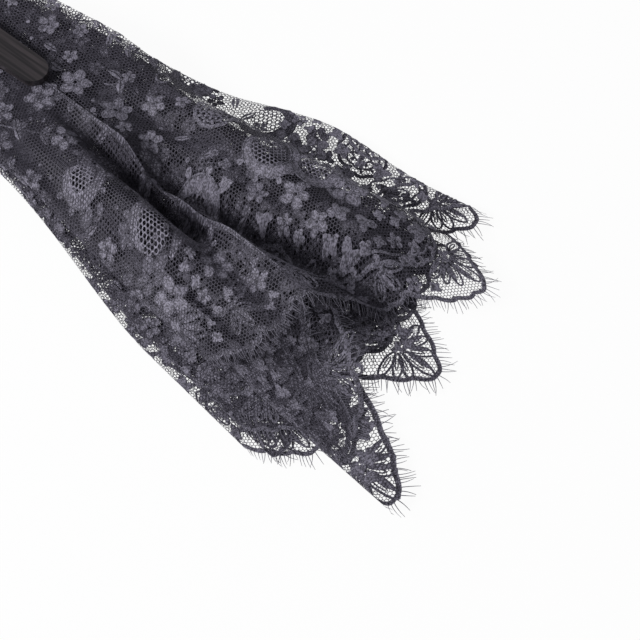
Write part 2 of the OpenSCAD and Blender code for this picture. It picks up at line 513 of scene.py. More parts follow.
@dataclass
class FlatWork:
    """Lace work drawn flat: points with a lift, and faces with a kind of thread."""

    points: list[np.ndarray] = field(default_factory=list)
    lifts: list[np.ndarray] = field(default_factory=list)
    tris: list[np.ndarray] = field(default_factory=list)
    tri_kinds: list[np.ndarray] = field(default_factory=list)
    quads: list[np.ndarray] = field(default_factory=list)
    quad_kinds: list[np.ndarray] = field(default_factory=list)
    solid: list[tuple[np.ndarray, float]] = field(default_factory=list)
    count: int = 0

    def add_points(self, points: np.ndarray, lifts: np.ndarray) -> int:
        """Adds points and returns the number of the first one."""
        first = self.count
        self.points.append(np.asarray(points, float).reshape(-1, 2))
        self.lifts.append(np.broadcast_to(np.asarray(lifts, float), (len(self.points[-1]),)))
        self.count += len(self.points[-1])
        return first

    def add_faces(self, faces: np.ndarray, kind: Thread) -> None:
        """Adds faces of three or four corners."""
        faces = np.asarray(faces, np.int64)
        three = faces.shape[1] == 3
        (self.tris if three else self.quads).append(faces)
        (self.tri_kinds if three else self.quad_kinds).append(np.full(len(faces), int(kind), np.int8))

    def pad(self, outline: np.ndarray, lift: float, crown: float, kind: Thread) -> None:
        """Fills a convex outline as a low crowned pad about its middle."""
        n = len(outline)
        first = self.add_points(np.vstack([outline, outline.mean(0)]), np.r_[np.full(n, lift), lift + crown])
        k = np.arange(n)
        self.add_faces(np.stack([first + k, first + (k + 1) % n, np.full(n, first + n)], axis=1), kind)

    def strip(self, path: np.ndarray, width: float, lift: float, crown: float, kind: Thread, closed: bool = False) -> None:
        """Lays a cord of a low ridged section along a path."""
        n = len(path)
        if closed:
            along = np.roll(path, -1, 0) - np.roll(path, 1, 0)
        else:
            along = np.gradient(path, axis=0)
        along /= np.maximum(np.linalg.norm(along, axis=1, keepdims=True), 1e-12)
        side = np.stack([along[:, 1], -along[:, 0]], axis=1) * width / 2
        rows = np.concatenate([path - side, path, path + side])
        lifts = np.concatenate([np.full(n, lift), np.full(n, lift + crown), np.full(n, lift)])
        first = self.add_points(rows, lifts)
        k = np.arange(n if closed else n - 1)
        after = (k + 1) % n
        for row in (0, 1):
            a, b = first + row * n, first + (row + 1) * n
            self.add_faces(np.stack([a + k, a + after, b + after, b + k], axis=1), kind)

    def threads(self, start: np.ndarray, end: np.ndarray, half: float, lift: float, kind: Thread) -> None:
        """Lays straight flat threads between pairs of points."""
        way = end - start
        way /= np.linalg.norm(way, axis=1, keepdims=True)
        across = np.stack([way[:, 1], -way[:, 0]], axis=1) * half
        corners = np.stack([start - across, end - across, end + across, start + across], axis=1)
        first = self.add_points(corners.reshape(-1, 2), np.full(4 * len(start), lift))
        self.add_faces(first + np.arange(4 * len(start)).reshape(-1, 4), kind)

    def joined(self) -> "FlatWork":
        """The same work with its lists joined into single arrays."""
        out = FlatWork(count=self.count)
        out.points = [np.concatenate(self.points)]
        out.lifts = [np.concatenate(self.lifts)]
        out.tris = [np.concatenate(self.tris) if self.tris else np.zeros((0, 3), np.int64)]
        out.tri_kinds = [np.concatenate(self.tri_kinds) if self.tri_kinds else np.zeros(0, np.int8)]
        out.quads = [np.concatenate(self.quads) if self.quads else np.zeros((0, 4), np.int64)]
        out.quad_kinds = [np.concatenate(self.quad_kinds) if self.quad_kinds else np.zeros(0, np.int8)]
        out.solid = self.solid
        return out

    def stamp(self, other: "FlatWork", at: np.ndarray, degrees: float, size: float = 1.0) -> None:
        """Stamps a joined motif at a place.

        Args:
            other: the motif, drawn about its own middle with +Y outwards.
            at: the flat place of its middle.
            degrees: how far it is turned clockwise.
            size: its scale.
        """
        first = self.add_points(turn(other.points[0] * size, degrees) + at, other.lifts[0])
        if len(other.tris[0]):
            self.tris.append(other.tris[0] + first)
            self.tri_kinds.append(other.tri_kinds[0])
        if len(other.quads[0]):
            self.quads.append(other.quads[0] + first)
            self.quad_kinds.append(other.quad_kinds[0])
        for middle, radius in other.solid:
            self.solid.append((turn(middle[None] * size, degrees)[0] + at, radius * size))


@dataclass
class Motifs:
    """The traditional motifs that the lace is made of, each drawn about its own middle with +Y outwards."""

    rng: np.random.Generator
    pad_lift: float = 0.06 * MM
    cord_lift: float = 0.13 * MM
    crown: float = 0.10 * MM

    def oval(
        self, length: float, width: float, middle: tuple[float, float], lean: float, steps: int, rough: float = 0.0
    ) -> np.ndarray:
        """An oval outline, uneven as hand-guided thread.

        Args:
            length: along its own +Y.
            width: across.
            middle: where its middle is.
            lean: how far it leans clockwise, in degrees.
            steps: the number of corners.
            rough: how uneven it is, as a share of its size.

        Returns:
            The corners in order.
        """
        a = np.arange(steps) * 2 * math.pi / steps
        start, second = self.rng.uniform(0, 2 * math.pi, 2)
        uneven = 1.0 + rough * (0.6 * np.sin(3 * a + start) + 0.4 * np.sin(5 * a + second))
        flat = np.stack([np.sin(a) * width / 2, np.cos(a) * length / 2], axis=1) * uneven[:, None]
        return turn(flat, lean) + np.array(middle)

    def cord(self, work: FlatWork, path: np.ndarray, width: float, closed: bool = False) -> None:
        """Lays a cord over the cloth."""
        work.strip(path, width, self.cord_lift, self.crown, Thread.CORD, closed=closed)

    def flower(self, radius: float, corded: bool = False) -> FlatWork:
        """A flower of five uneven round petals about an open ring."""
        work = FlatWork()
        for k in range(5):
            lean = k * 72.0 + self.rng.uniform(-7, 7)
            reach = radius * self.rng.uniform(0.56, 0.64)
            middle = turn(np.array([[0.0, reach]]), lean)[0]
            length, width = radius * self.rng.uniform(0.70, 0.84), radius * self.rng.uniform(0.58, 0.72)
            petal = self.oval(length, width, tuple(middle), lean, 12, 0.11)
            work.pad(petal, self.pad_lift, self.crown, Thread.CLOTH)
            if corded:
                self.cord(work, petal, 0.07 * radius, closed=True)
            work.solid.append((middle, 0.30 * radius))
        self.cord(work, self.oval(0.38 * radius, 0.38 * radius, (0.0, 0.0), 0.0, 8), 0.13 * radius, closed=True)
        return work.joined()

    def leaf(self, length: float, width: float) -> FlatWork:
        """A pointed leaf in two halves with an open vein, growing from its own middle outwards."""
        work = FlatWork()
        steps = 7
        s = np.linspace(0.0, 1.0, steps)
        bow = 0.10 * length * self.rng.uniform(-1, 1) * np.sin(math.pi * s)
        for sign in (-1.0, 1.0):
            edge = width / 2 * np.sin(math.pi * s**0.8) ** 0.8 * self.rng.uniform(0.85, 1.12, steps)
            outer = np.stack([bow + sign * np.maximum(edge, 0.07 * width), s * length], axis=1)
            inner = np.stack([bow + sign * 0.07 * width, s * length], axis=1)
            lifts = np.r_[np.full(steps, self.pad_lift), np.full(steps, self.pad_lift + self.crown)]
            first = work.add_points(np.vstack([outer, inner]), lifts)
            k = np.arange(steps - 1)
            rows = [first + k, first + k + 1, first + steps + k + 1, first + steps + k]
            work.add_faces(np.stack(rows, axis=1), Thread.CLOTH)
        work.solid.append((np.array([0.0, 0.5 * length]), 0.36 * width))
        return work.joined()

    def loop(self, length: float, width: float, filled: bool) -> FlatWork:
        """A petal loop of thick cord that grows from its own middle outwards, open or filled with cloth on one side."""
        work = FlatWork()
        ring = self.oval(length, width, (0.0, length / 2), 0.0, 14, 0.05)
        self.cord(work, ring, 0.75 * MM, closed=True)
        if filled:
            work.pad(self.oval(0.8 * length, 0.42 * width, (0.22 * width, 0.48 * length), 4.0, 9, 0.08), self.pad_lift, self.crown, Thread.CLOTH)
        self.cord(work, self.oval(0.5 * length, 0.3 * width, (-0.08 * width, 0.46 * length), 0.0, 8), 0.45 * MM, closed=True)
        return work.joined()

    def grid(self, work: FlatWork, radius: float, pitch: float, width: float, middle: tuple[float, float] = (0.0, 0.0)) -> None:
        """Fills a round area with a coarse hexagonal mesh of thick threads."""
        n = int(radius / pitch) + 2
        j, i = np.meshgrid(np.arange(-n, n + 1), np.arange(-n, n + 1))
        cx, cy = ((i + 0.5 * (j % 2)) * pitch).ravel(), (j * pitch * math.sqrt(3) / 2).ravel()
        corner = pitch / math.sqrt(3)
        for k in range(3):
            a, b = math.radians(60 * k), math.radians(60 * k + 60)
            start = np.stack([cx + corner * math.sin(a), cy + corner * math.cos(a)], axis=1)
            end = np.stack([cx + corner * math.sin(b), cy + corner * math.cos(b)], axis=1)
            keep = np.hypot(*((start + end) / 2).T) < radius
            work.threads(start[keep] + middle, end[keep] + middle, width / 2, self.pad_lift, Thread.CLOTH)
        work.solid.append((np.array(middle), radius))

    def scroll(self, radius: float, mirror: bool) -> FlatWork:
        """A comma-shaped scroll: a curling band of cloth about an area of coarse mesh."""
        work = FlatWork()
        sign = -1.0 if mirror else 1.0
        steps = 22
        s = np.linspace(0.0, 1.0, steps)
        a = np.radians(-110.0 + 285.0 * s)
        r = radius * (1.0 - 0.42 * s**1.4)
        wide = (1.2 + 2.7 * np.sin(math.pi * s**0.8)) * MM * self.rng.uniform(0.92, 1.08, steps)
        middle = np.stack([sign * r * np.sin(a), r * np.cos(a)], axis=1)
        outward = np.stack([sign * np.sin(a), np.cos(a)], axis=1)
        rows = [middle + outward * (wide / 2)[:, None], middle, middle - outward * (wide / 2)[:, None]]
        lifts = np.concatenate([np.full(steps, self.pad_lift + d) for d in (0.0, self.crown, 0.0)])
        first = work.add_points(np.vstack(rows), lifts)
        k = np.arange(steps - 1)
        for row in (0, 1):
            p, q = first + row * steps, first + (row + 1) * steps
            work.add_faces(np.stack([p + k, p + k + 1, q + k + 1, q + k], axis=1), Thread.CLOTH)
        for edge in (rows[0], rows[2]):
            work.strip(edge, 0.6 * MM, self.cord_lift, 2.2 * self.crown, Thread.CORD)
        self.grid(work, 0.66 * radius, 1.5 * MM, 0.42 * MM)
        for j in range(3, steps - 6, 3):
            at = middle[j] + outward[j] * (wide[j] / 2 + 1.3 * MM)
            lean = math.degrees(math.atan2(outward[j][0], outward[j][1]))
            work.pad(self.oval(2.5 * MM, 2.1 * MM, tuple(at), lean, 8, 0.12), self.pad_lift, self.crown, Thread.CLOTH)
        return work.joined()

    def medallion(self, radius: float) -> FlatWork:
        """A rose: an uneven flower inside rings of strokes and scalloped bands."""
        work = FlatWork()
        work.stamp(self.flower(0.36 * radius), np.zeros(2), 0.0)
        for lobes, at, depth, width in ((0, 0.42, 0.0, 0.7 * MM), (9, 0.66, 0.05, 0.8 * MM), (11, 0.95, 0.06, 1.3 * MM)):
            a = np.arange(72) * 2 * math.pi / 72
            r = radius * (at + depth * np.abs(np.cos(a * lobes / 2.0)))
            self.cord(work, np.stack([r * np.sin(a), r * np.cos(a)], axis=1), width, closed=True)
        for k in range(22):
            lean = k * 360.0 / 22
            near, far = (0.44, 0.62) if k % 2 else (0.72, 0.9)
            size = (far - near) * radius
            at = turn(np.array([[0.0, (near + far) / 2 * radius]]), lean)[0]
            stroke = self.oval(size, 0.14 * radius, tuple(at), lean, 8, 0.1)
            work.pad(stroke, self.pad_lift, self.crown, Thread.CLOTH)
        work.solid.append((np.zeros(2), 0.4 * radius))
        return work.joined()

    def sprig(self, radius: float) -> FlatWork:
        """A small flower between two leaves on a curved stem."""
        work = FlatWork()
        work.stamp(self.flower(radius), np.array([0.0, 0.9 * radius]), 0.0)
        for lean in (112.0, -124.0):
            work.stamp(self.leaf(2.2 * radius, 1.0 * radius), np.array([0.0, -0.2 * radius]), lean)
        s = np.linspace(0.0, 1.0, 6)
        stem = np.stack([0.5 * radius * np.sin(s * 3.4), -2.4 * radius * s], axis=1)
        self.cord(work, stem, 0.45 * MM)
        return work.joined()

    def keyhole(self, radius: float) -> FlatWork:
        """An open ring of cord with a tail."""
        work = FlatWork()
        a = np.radians(np.linspace(200.0, -140.0, 14))
        ring = np.stack([radius * np.sin(a), radius * np.cos(a)], axis=1)
        s = np.linspace(0.15, 1.0, 5)[:, None]
        tail = ring[-1] + np.array([-1.9 * radius, -0.35 * radius]) * s
        self.cord(work, np.vstack([ring, tail]), 0.8 * MM)
        return work.joined()

    def patch(self, radius: float) -> FlatWork:
        """A ragged patch of close cloth with three or four lobes."""
        work = FlatWork()
        lobes = int(self.rng.integers(3, 5))
        turned = self.rng.uniform(0, 360)
        for k in range(lobes):
            lean = turned + k * 360.0 / lobes + self.rng.uniform(-15, 15)
            middle = turn(np.array([[0.0, 0.42 * radius]]), lean)[0]
            lobe = self.oval(1.15 * radius, 0.8 * radius * self.rng.uniform(0.8, 1.2), tuple(middle), lean, 12, 0.2)
            work.pad(lobe, self.pad_lift, self.crown, Thread.CLOTH)
        work.solid.append((np.zeros(2), 0.75 * radius))
        return work.joined()

    def spot(self, radius: float) -> FlatWork:
        """A small round tuft."""
        work = FlatWork()
        work.pad(self.oval(2 * radius, 2 * radius, (0.0, 0.0), 0.0, 7), self.pad_lift, 2 * self.crown, Thread.CLOTH)
        return work.joined()


@dataclass(frozen=True)
class LongPoint:
    """A place where the scalloped hem drops lower than elsewhere."""

    angle: float
    width: float
    drop: float


@dataclass(frozen=True)
class Rim:
    """The scalloped lower edge of the flat leaf."""

    scallops: int = 27
    first_tip: float = 5.57
    tip_r: float = 0.399
    depth: float = 0.0185
    lobes: int = 4
    lobe_depth: float = 1.3 * MM
    long_points: tuple[LongPoint, ...] = (
        LongPoint(17.1, 3.2, 0.007),
        LongPoint(51.8, 3.0, 0.019),
        LongPoint(65.0, 3.0, -0.014),
        LongPoint(78.0, 3.0, -0.006),
        LongPoint(91.0, 2.6, -0.016),
        LongPoint(98.0, 2.8, 0.036),
        LongPoint(104.0, 2.4, -0.024),
        LongPoint(117.0, 3.0, -0.014),
        LongPoint(124.0, 2.6, 0.030),
        LongPoint(130.5, 2.8, -0.010),
        LongPoint(140.3, 3.3, 0.019),
        LongPoint(145.0, 2.5, -0.026),
        LongPoint(149.6, 2.4, -0.035),
        LongPoint(155.6, 2.0, -0.022),
    )

    def period(self, total: float) -> float:
        """The angle of one scallop."""
        return total / self.scallops

    def share(self, angle: np.ndarray, total: float) -> np.ndarray:
        """How far a place is from the middle of its scallop: 0 at the tip and 1 at the dip."""
        cycle = (angle - self.first_tip) / self.period(total)
        return np.abs(2.0 * (cycle - np.round(cycle)))

    def tip(self, angle: np.ndarray) -> np.ndarray:
        """The radius that a scallop's tip has at an angle."""
        drop = sum(p.drop * np.exp(-(((angle - p.angle) / p.width) ** 2)) for p in self.long_points)
        return self.tip_r + drop

    def radius(self, angle: np.ndarray, total: float) -> np.ndarray:
        """The radius of the hem at an angle."""
        f = self.share(angle, total)
        lobe = self.lobe_depth * np.abs(np.sin(math.pi * self.lobes * f))
        return self.tip(angle) - self.depth * f**1.12 + lobe


class LaceSheet:
    """The whole lace leaf, drawn flat: rim, motifs, hems and net."""

    def __init__(self, sizes: FanSizes, rim: Rim, seed: int = 11) -> None:
        self.sizes = sizes
        self.rim = rim
        self.rng = np.random.default_rng(seed)
        self.motifs = Motifs(self.rng)
        self.work = FlatWork()
        self.taken: list[tuple[float, float, float]] = []

    def stamp_at(self, motif: FlatWork, angle: float, radius: float, lean: float = 0.0, reach: float = 0.0) -> None:
        """Stamps a motif at an angle and radius, leaning from straight outwards, and keeps its place."""
        at = polar(np.array(angle), np.array(radius))
        self.work.stamp(motif, at, angle + lean)
        if reach:
            self.take(angle, radius, reach)

    def take(self, angle: float, radius: float, reach: float) -> None:
        """Keeps a round place free of scattered motifs."""
        x, y = polar(np.array(angle), np.array(radius))
        self.taken.append((float(x), float(y), reach))

    def draw(self) -> FlatWork:
        """Draws the whole leaf.

        Returns:
            The joined flat work.
        """
        self.draw_rim()
        self.draw_fans()
        self.draw_garland()
        self.draw_accents()
        self.draw_medallions()
        self.draw_stems()
        self.scatter()
        self.draw_hems()
        self.draw_net()
        return self.work.joined()

    def smooth_rim(self, angle: np.ndarray) -> np.ndarray:
        """The radius of the rim without its small lobes."""
        share = self.rim.share(angle, self.sizes.total_angle)
        return self.rim.tip(angle) - self.rim.depth * share**1.12

    def draw_rim(self) -> None:
        """The thick uneven rim cord with small picots inside it."""
        total = self.sizes.total_angle
        angle = np.minimum(np.arange(0.0, total + 0.09, 0.09), total)
        radius = self.rim.radius(angle, total)
        self.work.strip(polar(angle, radius - 0.7 * MM), 1.5 * MM, 0.1 * MM, 0.3 * MM, Thread.CORD)
        for a in np.arange(0.25, total, 0.29):
            r = float(self.rim.radius(np.array(a), total)) + self.rng.uniform(-1.5, -0.6) * MM
            size = self.rng.uniform(1.1, 1.9) * MM
            bead = self.motifs.oval(size, 0.75 * size, tuple(polar(np.array(a), np.array(r))), a, 7, 0.15)
            self.work.pad(bead, 0.1 * MM, 0.25 * MM, Thread.CORD)

    def draw_fans(self) -> None:
        """A fan of petal loops in each scallop, and a smaller one over each dip."""
        total, period = self.sizes.total_angle, self.rim.period(self.sizes.total_angle)
        for k in range(-1, self.rim.scallops + 1):
            angle = self.rim.first_tip + k * period
            if 1.0 < angle < total - 1.0:
                heart = float(self.rim.tip(np.array(angle))) - 15.5 * MM
                stretch = float(self.rim.tip(np.array(angle))) - self.rim.tip_r
                for n, (lean, length) in enumerate(((0, 10.5), (-27, 9.2), (29, 9.0), (-54, 8.0), (57, 8.0), (-84, 8.6), (86, 8.4))):
                    loop = self.motifs.loop((length + 90 * stretch * (lean == 0)) * MM, self.rng.uniform(2.9, 3.5) * MM, n % 2 == 0)
                    at = turn(np.array([[0.0, 2.0 * MM]]), lean + angle)[0] + polar(np.array(angle), np.array(heart))
                    self.work.stamp(loop, at, lean + angle + self.rng.uniform(-5, 5))
                self.work.stamp(self.motifs.patch(2.4 * MM), polar(np.array(angle), np.array(heart)), angle)
                for side in (-1.0, 1.0):
                    self.take(angle + 0.55 * side, heart + 1.0 * MM, 6.5 * MM)
                self.take(angle, heart + 5.0 * MM, 6.5 * MM)
                for _ in range(int(max(stretch - 14 * MM, 0.0) * 4000)):
                    a, back = angle + self.rng.uniform(-2.4, 2.4), self.rng.uniform(5 * MM, stretch + 14 * MM)
                    r = float(self.smooth_rim(np.array(a))) - back
                    self.work.stamp(self.motifs.patch(2.6 * MM), polar(np.array(a), np.array(r)), a)
            dip = angle + period / 2
            if 1.0 < dip < total - 1.0:
                base = float(self.smooth_rim(np.array(dip))) - 11.0 * MM
                for n, (lean, length) in enumerate(((0, 7.6), (-40, 7.0), (42, 7.0))):
                    loop = self.motifs.loop(length * MM, 2.8 * MM, n == 0)
                    at = turn(np.array([[0.0, 1.2 * MM]]), lean + dip)[0] + polar(np.array(dip), np.array(base))
                    self.work.stamp(loop, at, lean + dip)
                self.take(dip, base + 3 * MM, 6.0 * MM)

    def draw_garland(self) -> None:
        """Two wavy bands that swing from dip to dip behind the fans, with petals between them."""
        total = self.sizes.total_angle
        angle = np.arange(0.3, total, 0.16)
        swing = np.cos(math.pi * self.rim.share(angle, total))
        level = self.smooth_rim(angle) * 0.25 + self.rim.tip(angle) * 0.75
        for inset, sway, width in ((22.5, 3.6, 1.35), (26.0, 4.6, 0.8)):
            radius = level - inset * MM + sway * MM * swing + 0.35 * MM * np.sin(angle * 9.0)
            self.work.strip(polar(angle, radius), width * MM, 0.1 * MM, 0.2 * MM, Thread.CORD)
        for a, r, sw in zip(angle[::5], level[::5], swing[::5]):
            petal = self.motifs.oval(2.6 * MM, 1.7 * MM, tuple(polar(np.array(a), np.array(r - 24.1 * MM + 4.1 * MM * sw))), a, 9, 0.15)
            self.work.pad(petal, 0.08 * MM, 0.1 * MM, Thread.CLOTH)

    def draw_medallions(self) -> None:
        """Rows of roses and scrolls inside the garland."""
        total, period = self.sizes.total_angle, self.rim.period(self.sizes.total_angle)
        for k in range(self.rim.scallops):
            angle = self.rim.first_tip + k * period
            if not 2.0 < angle < total - 8.0:
                continue
            if k % 2 == 0:
                self.stamp_at(self.motifs.medallion(8.8 * MM), angle + 0.3, 0.3545, reach=9.8 * MM)
                scroll = self.motifs.scroll(8.4 * MM, mirror=k % 4 == 0)
                self.stamp_at(scroll, angle - 0.2, 0.3215, lean=self.rng.uniform(-40, 40), reach=9.6 * MM)
                scroll = self.motifs.scroll(6.2 * MM, mirror=k % 4 != 0)
                self.stamp_at(scroll, angle + 1.1, 0.2940, lean=self.rng.uniform(60, 160), reach=7.2 * MM)
            else:
                scroll = self.motifs.scroll(9.0 * MM, mirror=k % 4 == 1)
                self.stamp_at(scroll, angle, 0.3480, lean=self.rng.uniform(-30, 30), reach=10.2 * MM)
                self.stamp_at(self.motifs.medallion(6.4 * MM), angle + 0.4, 0.3120, reach=7.2 * MM)
                lean = self.rng.uniform(-60, 60)
                self.stamp_at(self.motifs.keyhole(2.4 * MM), angle - 0.5, 0.2890, lean=lean, reach=4.0 * MM)

    def draw_accents(self) -> None:
        """Large scrolls and flowers on the folds that lie uppermost in the closed fan."""
        for angle, radius, size, lean in (
            (152.9, 0.3260, 9.6, 100.0),
            (155.0, 0.3325, 6.4, -60.0),
            (139.4, 0.3340, 9.8, 30.0),
            (136.9, 0.3160, 6.6, 140.0),
            (152.2, 0.2950, 7.4, -20.0),
        ):
            self.stamp_at(self.motifs.scroll(size * MM, mirror=lean < 0.0), angle, radius, lean, (size + 2.2) * MM)
        for angle, radius, size in (
            (151.2, 0.3425, 6.8),
            (154.2, 0.3480, 5.6),
            (153.6, 0.2800, 5.0),
            (138.6, 0.3620, 7.4),
            (140.9, 0.3500, 5.2),
        ):
            flower = self.motifs.flower(size * MM, corded=True)
            self.stamp_at(flower, angle, radius, self.rng.uniform(0, 72), (size + 1.0) * MM)

    def draw_stems(self) -> None:
        """Curved stems with paired leaves that climb the leaf from its inner edge."""
        total, period = self.sizes.total_angle, self.rim.period(self.sizes.total_angle)
        for k in range(0, self.rim.scallops, 2):
            angle = self.rim.first_tip + (k + 0.5) * period
            radius = np.arange(self.sizes.inner_r + 6 * MM, 0.292, 2.4 * MM)
            sway = angle + 1.7 * np.sin((radius - self.sizes.inner_r) * 75.0 + k)
            keep = (sway > 0.8) & (sway < total - 0.8)
            if keep.sum() < 8:
                continue
            path = polar(sway[keep], radius[keep])
            self.work.strip(path, 0.6 * MM, 0.13 * MM, 0.1 * MM, Thread.CORD)
            for j in range(2, len(path) - 2, 3):
                way = path[j + 1] - path[j - 1]
                lean = math.degrees(math.atan2(way[0], way[1]))
                for sign in (1.0, -1.0):
                    leaf = self.motifs.leaf(self.rng.uniform(4.0, 5.4) * MM, 2.1 * MM)
                    self.work.stamp(leaf, path[j], lean + sign * self.rng.uniform(42, 60))
                self.taken.append((path[j][0], path[j][1], 3.2 * MM))

    def scatter(self) -> None:
        """Fills the rest with small flowers, sprigs, patches and spots: close near the rim and thin near the sticks."""
        total, rng, motifs = self.sizes.total_angle, self.rng, self.motifs
        plan = (
            ([motifs.patch(4.0 * MM) for _ in range(6)], 3.7 * MM, 0.348, 0.0, 1300),
            ([motifs.flower(Bloom.LARGE.value, corded=True) for _ in range(4)], 5.0 * MM, 0.262, 0.0, 520),
            ([motifs.flower(Bloom.MIDDLE.value, corded=True) for _ in range(5)], 3.9 * MM, 0.215, 0.0, 1500),
            ([motifs.sprig(2.5 * MM) for _ in range(4)], 6.2 * MM, 0.135, 0.0, 700),
            ([motifs.flower(Bloom.SMALL.value) for _ in range(4)], 3.1 * MM, 0.150, 0.0, 2600),
            ([motifs.patch(3.0 * MM) for _ in range(6)], 2.6 * MM, 0.342, 0.0, 4000),
            ([motifs.patch(2.2 * MM) for _ in range(5)], 1.8 * MM, 0.325, 0.0, 12000),
            ([motifs.leaf(5.4 * MM, 2.5 * MM) for _ in range(4)], 2.6 * MM, 0.250, 2.7 * MM, 2500),
            ([motifs.spot(0.7 * MM) for _ in range(2)], 2.2 * MM, 0.130, 0.0, 4200),
        )
        xs, ys, rs = (np.array([t[n] for t in self.taken]) for n in range(3))
        for choice, reach, low_r, back, tries in plan:
            angle = rng.uniform(0.6, total - 0.6, tries)
            edge = self.smooth_rim(angle) - 3.0 * MM
            radius = np.sqrt(rng.uniform(low_r**2, 0.43**2, tries))
            lean = rng.uniform(-180, 180, tries)
            for n, (a, r, e, turned) in enumerate(zip(angle, radius, edge, lean)):
                if r > e - reach:
                    continue
                x, y = polar(np.array(a), np.array(r))
                if ((xs - x) ** 2 + (ys - y) ** 2 < (rs + reach) ** 2).any():
                    continue
                start = np.array([x, y]) - turn(np.array([[0.0, back]]), turned)[0]
                self.work.stamp(choice[n % len(choice)], start, turned)
                xs, ys, rs = np.append(xs, x), np.append(ys, y), np.append(rs, reach)
        log.info("the lace has %d scattered motifs", len(xs) - len(self.taken))

    def draw_hems(self) -> None:
        """A woven band along the inner edge, and a narrow hem down each end of the leaf."""
        total = self.sizes.total_angle
        angle = np.arange(0.0, total + 0.2, 0.4)
        for inset, width in ((0.8 * MM, 1.6 * MM), (3.4 * MM, 0.6 * MM), (5.0 * MM, 0.6 * MM)):
            path = polar(np.minimum(angle, total), np.full(len(angle), self.sizes.inner_r + inset))
            self.work.strip(path, width, 0.08 * MM, 0.12 * MM, Thread.CORD)
        for end, sign in ((0.0, 1.0), (total, -1.0)):
            last = float(self.rim.radius(np.array(end), total))
            radius = np.arange(self.sizes.inner_r, last, 1.5 * MM)
            inset = np.degrees(0.5 * MM / radius) * sign
            self.work.strip(polar(end + inset, radius), 1.1 * MM, 0.08 * MM, 0.15 * MM, Thread.CORD)

    def solid_mask(self, cell: float) -> tuple[np.ndarray, float]:
        """Marks, on a square grid, where closed cloth lies, so that no net is drawn under it."""
        reach = 0.45
        size = int(2 * reach / cell)
        mask = np.zeros((size, size), bool)
        for middle, radius in self.work.solid:
            n = int(radius / cell) + 1
            cx, cy = int((middle[0] + reach) / cell), int((middle[1] + reach) / cell)
            gx, gy = np.mgrid[-n : n + 1, -n : n + 1]
            inside = gx**2 + gy**2 <= (radius / cell) ** 2
            mask[cx - n : cx + n + 1, cy - n : cy + n + 1] |= inside
        return mask, reach

    def draw_net(self) -> None:
        """The hexagonal net between the motifs, as flat threads."""
        pitch, half_thread = 1.15 * MM, 0.105 * MM
        total = self.sizes.total_angle
        row = pitch * math.sqrt(3) / 2
        reach = 0.445
        cols, rows = int(2 * reach / pitch), int(2 * reach / row)
        j, i = np.meshgrid(np.arange(rows), np.arange(cols), indexing="ij")
        cx = (i + 0.5 * (j % 2)).ravel() * pitch - reach
        cy = j.ravel() * row - reach
        # Each cell owns three of its threads, which leave the cell's lower corner and its two right-hand corners.
        corner = pitch / math.sqrt(3)
        corners = [(corner * math.sin(a), corner * math.cos(a)) for a in np.radians([0, 60, 120, 180])]
        starts, ends = [], []
        for k in range(3):
            starts.append(np.stack([cx + corners[k][0], cy + corners[k][1]], axis=1))
            ends.append(np.stack([cx + corners[k + 1][0], cy + corners[k + 1][1]], axis=1))
        start, end = np.concatenate(starts), np.concatenate(ends)
        mid = (start + end) / 2
        angle = np.degrees(np.arctan2(mid[:, 0], mid[:, 1]))
        angle = np.where(angle < -20.0, angle + 360.0, angle)
        radius = np.hypot(mid[:, 0], mid[:, 1])
        keep = (angle > 0.05) & (angle < total - 0.05) & (radius > self.sizes.inner_r + 0.3 * MM)
        keep[keep] &= radius[keep] < self.rim.radius(angle[keep], total) - 0.4 * MM
        start, end = start[keep], end[keep]
        cell = 0.3 * MM
        mask, side = self.solid_mask(cell)
        inside = [mask[((p + side) / cell).astype(int)[:, 0], ((p + side) / cell).astype(int)[:, 1]] for p in (start, end)]
        keep = ~(inside[0] & inside[1])
        start, end = start[keep], end[keep]
        self.work.threads(start, end, half_thread, 0.0, Thread.NET)
        log.info("the net has %d threads", len(start))


